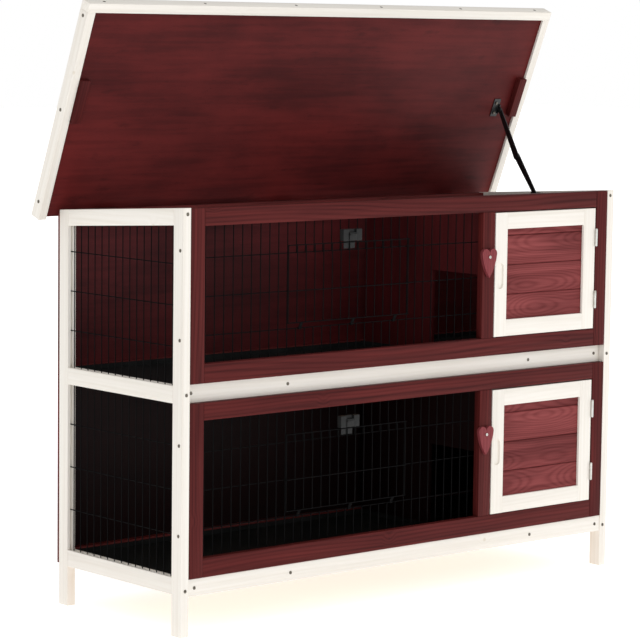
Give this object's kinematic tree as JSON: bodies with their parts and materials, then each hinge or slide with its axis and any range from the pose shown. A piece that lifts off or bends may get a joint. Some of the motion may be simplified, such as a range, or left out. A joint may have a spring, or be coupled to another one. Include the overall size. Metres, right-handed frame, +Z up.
{
  "type": "rabbit hutch",
  "caption": "Two-storey wooden rabbit hutch with wire-mesh runs, panelled nest doors with heart turn buttons, drop-down wire doors and a stayed lift-up lid.",
  "frame": {"origin": "on the floor, at the middle of the body's footprint (outer faces of the four posts)", "axes": "+X to the right seen from the front, +Y to the back, +Z up; the lid is stored open"},
  "size_m": [1.394, 0.4901, 1.3347],
  "materials": {
    "white_wood": "thin warm-white paint over pine, grain showing",
    "stained_wood": "wine-red stain over pine with grain and knots",
    "stained_ply": "wine-red stain over plywood, fine even grain",
    "roof_felt": "mineral-faced roofing felt",
    "black_wire": "black coated steel wire",
    "black_plastic": "black plastic, satin",
    "black_steel": "black painted steel",
    "zinc": "bright zinc plate"
  },
  "bodies": {
    "hutch": {"back_hinge_leaves": "black_steel", "back_panel": "stained_ply", "bottom_front_rail": "white_wood", "deck_boards": "stained_ply", "frame_screws": "zinc", "front_left_post": "white_wood", "front_right_post": "white_wood", "hinge_pins": "zinc", "latch_bodies": "black_plastic", "left_bottom_rail": "white_wood", "left_middle_rail": "white_wood", "left_top_rail": "white_wood", "lower_front_foot_rail": "stained_wood", "lower_front_head_rail": "stained_wood", "lower_front_mesh": "black_wire", "lower_front_stiles": "stained_wood", "lower_mullion": "stained_wood", "lower_side_mesh": "black_wire", "middle_front_rail": "white_wood", "nest_trays": "black_plastic", "partitions": "stained_ply", "rear_left_post": "white_wood", "rear_rails": "stained_wood", "rear_right_post": "white_wood", "right_bottom_rail": "white_wood", "right_middle_rail": "white_wood", "right_side_boards": "stained_wood", "right_top_rail": "white_wood", "round_screws": "zinc", "run_trays": "black_plastic", "stay_body_bracket": "black_steel", "stile_hinge_leaves": "zinc", "upper_front_foot_rail": "stained_wood", "upper_front_head_rail": "stained_wood", "upper_front_mesh": "black_wire", "upper_front_stiles": "stained_wood", "upper_mullion": "stained_wood", "upper_side_mesh": "black_wire"},
    "lid": {"lid_panel": "stained_ply", "lid_felt": "roof_felt", "lid_side_fascias": "white_wood", "lid_front_fascia": "white_wood", "lid_blocks": "stained_wood", "lid_hinge_leaves": "black_steel", "stay_lid_bracket": "black_steel", "lid_screws": "zinc"},
    "stay_upper": {"stay_upper_link": "black_steel"},
    "stay_lower": {"stay_lower_link": "black_steel"},
    "lower_small_door": {"lower_door_frame": "white_wood", "lower_door_boards": "stained_wood", "lower_door_hinge_leaves": "zinc"},
    "lower_heart": {"lower_heart_button": "stained_wood"},
    "lower_wire_leaf": {"lower_wire_door": "black_wire"},
    "lower_catch": {"lower_latch_catch": "black_plastic"},
    "upper_small_door": {"upper_door_frame": "white_wood", "upper_door_boards": "stained_wood", "upper_door_hinge_leaves": "zinc"},
    "upper_heart": {"upper_heart_button": "stained_wood"},
    "upper_wire_leaf": {"upper_wire_door": "black_wire"},
    "upper_catch": {"upper_latch_catch": "black_plastic"}
  },
  "joints": [
    {"name": "lid_hinge", "type": "hinge", "parent": "hutch", "child": "lid", "pos_m": [0, 0.2286, 0.87307], "axis": [-1, 0, 0], "range_deg": [-64.38, 0]},
    {"name": "stay_lower_pivot", "type": "hinge", "parent": "hutch", "child": "stay_lower", "pos_m": [0.6224, 0.01488, 0.88228], "axis": [-1, 0, 0], "range_deg": [0, 59.4]},
    {"name": "stay_upper_pivot", "type": "hinge", "parent": "lid", "child": "stay_upper", "pos_m": [0.6196, 0.13989, 1.08579], "axis": [-1, 0, 0], "range_deg": [-48.2, 0]},
    {"name": "lower_door_hinge", "type": "hinge", "parent": "hutch", "child": "lower_small_door", "pos_m": [0.5894, -0.2222, 0.309], "axis": [0, 0, 1], "range_deg": [0, 170]},
    {"name": "lower_heart_turn", "type": "hinge", "parent": "hutch", "child": "lower_heart", "pos_m": [0.2312, -0.2245, 0.3565], "axis": [0, 1, 0], "continuous": true},
    {"name": "lower_wire_door_hinge", "type": "hinge", "parent": "hutch", "child": "lower_wire_leaf", "pos_m": [-0.1748, -0.19765, 0.22275], "axis": [1, 0, 0], "range_deg": [0, 125]},
    {"name": "lower_catch_slide", "type": "slide", "parent": "hutch", "child": "lower_catch", "axis": [0, 0, -1], "range_m": [0, 0.01]},
    {"name": "upper_door_hinge", "type": "hinge", "parent": "hutch", "child": "upper_small_door", "pos_m": [0.5894, -0.2222, 0.719], "axis": [0, 0, 1], "range_deg": [0, 170]},
    {"name": "upper_heart_turn", "type": "hinge", "parent": "hutch", "child": "upper_heart", "pos_m": [0.2312, -0.2245, 0.76553], "axis": [0, 1, 0], "continuous": true},
    {"name": "upper_wire_door_hinge", "type": "hinge", "parent": "hutch", "child": "upper_wire_leaf", "pos_m": [-0.1748, -0.19765, 0.63376], "axis": [1, 0, 0], "range_deg": [0, 125]},
    {"name": "upper_catch_slide", "type": "slide", "parent": "hutch", "child": "upper_catch", "axis": [0, 0, -1], "range_m": [0, 0.01]}
  ],
  "couplings": [
    {"joint": "stay_lower_pivot", "follows": "lid_hinge", "ratio": -0.9192},
    {"joint": "stay_upper_pivot", "follows": "lid_hinge", "ratio": 0.74547}
  ]
}
